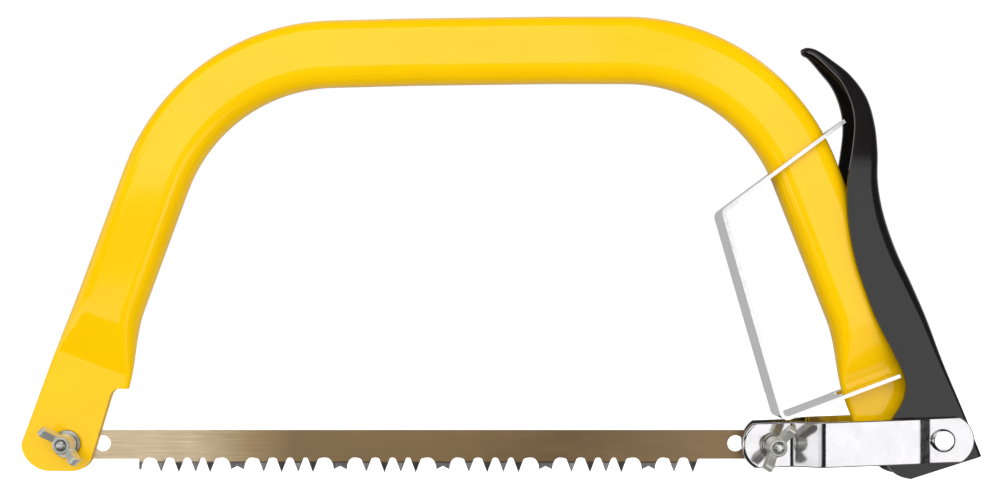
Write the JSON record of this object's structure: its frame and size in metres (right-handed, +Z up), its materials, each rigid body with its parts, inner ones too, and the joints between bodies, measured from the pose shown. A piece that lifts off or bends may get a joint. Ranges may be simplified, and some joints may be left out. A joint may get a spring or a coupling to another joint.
{
  "type": "bow saw",
  "caption": "Bow saw with a bent tube bow, a raker-toothed blade between bolts with wing nuts, a strap hand guard and an over-centre tensioning lever on link plates.",
  "frame": {"origin": "on the underside of the bow's top run, in the saw's middle plane, where a peg holds it about in balance", "axes": "+X along the blade towards the lever, +Z up to the bow, Y across the saw with the wing nuts on the -Y side"},
  "size_m": [0.4075, 0.0387, 0.1966],
  "materials": {
    "yellow_paint": "glossy yellow paint",
    "black_paint": "glossy black paint",
    "blade_steel": "lacquered brown steel, teeth ground grey",
    "link_zinc": "bright plated steel",
    "guard_zinc": "bright plated steel strap",
    "rivet_zinc": "bright plated steel",
    "fastener_zinc": "zinc-plated steel"
  },
  "bodies": {
    "frame": {"frame_tube": "yellow_paint", "hand_guard": "guard_zinc", "lever_pivot_pin": "fastener_zinc", "pivot_spacer_front": "fastener_zinc", "pivot_spacer_back": "fastener_zinc", "left_blade_bolt": "fastener_zinc", "left_washer": "fastener_zinc"},
    "lever": {"tension_lever": "black_paint"},
    "links": {"link_plate_front": "link_zinc", "link_plate_back": "link_zinc", "link_rivet_front": "rivet_zinc", "link_rivet_back": "rivet_zinc", "link_washer_front": "fastener_zinc", "link_washer_back": "fastener_zinc", "right_blade_bolt": "fastener_zinc", "right_washer": "fastener_zinc", "blade_spacer_front": "fastener_zinc", "blade_spacer_back": "fastener_zinc"},
    "blade": {"blade": "blade_steel"},
    "left_nut": {"left_wing_nut": "fastener_zinc"},
    "right_nut": {"right_wing_nut": "fastener_zinc"}
  },
  "joints": [
    {"name": "lever_pivot", "type": "hinge", "parent": "frame", "child": "lever", "pos_m": [0.1356, 0, -0.153], "axis": [0, 1, 0], "range_deg": [0, 60]},
    {"name": "link_pivot", "type": "hinge", "parent": "lever", "child": "links", "pos_m": [0.1477, 0, -0.1514], "axis": [0, 1, 0], "range_deg": [-74.8, 0]},
    {"name": "blade_pivot", "type": "hinge", "parent": "frame", "child": "blade", "pos_m": [-0.222, 0, -0.154], "axis": [0, 1, 0], "range_deg": [0, 5.7]},
    {"name": "left_nut_turn", "type": "hinge", "parent": "frame", "child": "left_nut", "pos_m": [-0.222, 0, -0.154], "axis": [0, 1, 0], "continuous": true},
    {"name": "right_nut_turn", "type": "hinge", "parent": "links", "child": "right_nut", "pos_m": [0.078, 0, -0.154], "axis": [0, 1, 0], "continuous": true}
  ],
  "couplings": [
    {"joint": "link_pivot", "follows": "lever_pivot", "ratio": -1.246},
    {"joint": "blade_pivot", "follows": "lever_pivot", "ratio": 0.094}
  ]
}
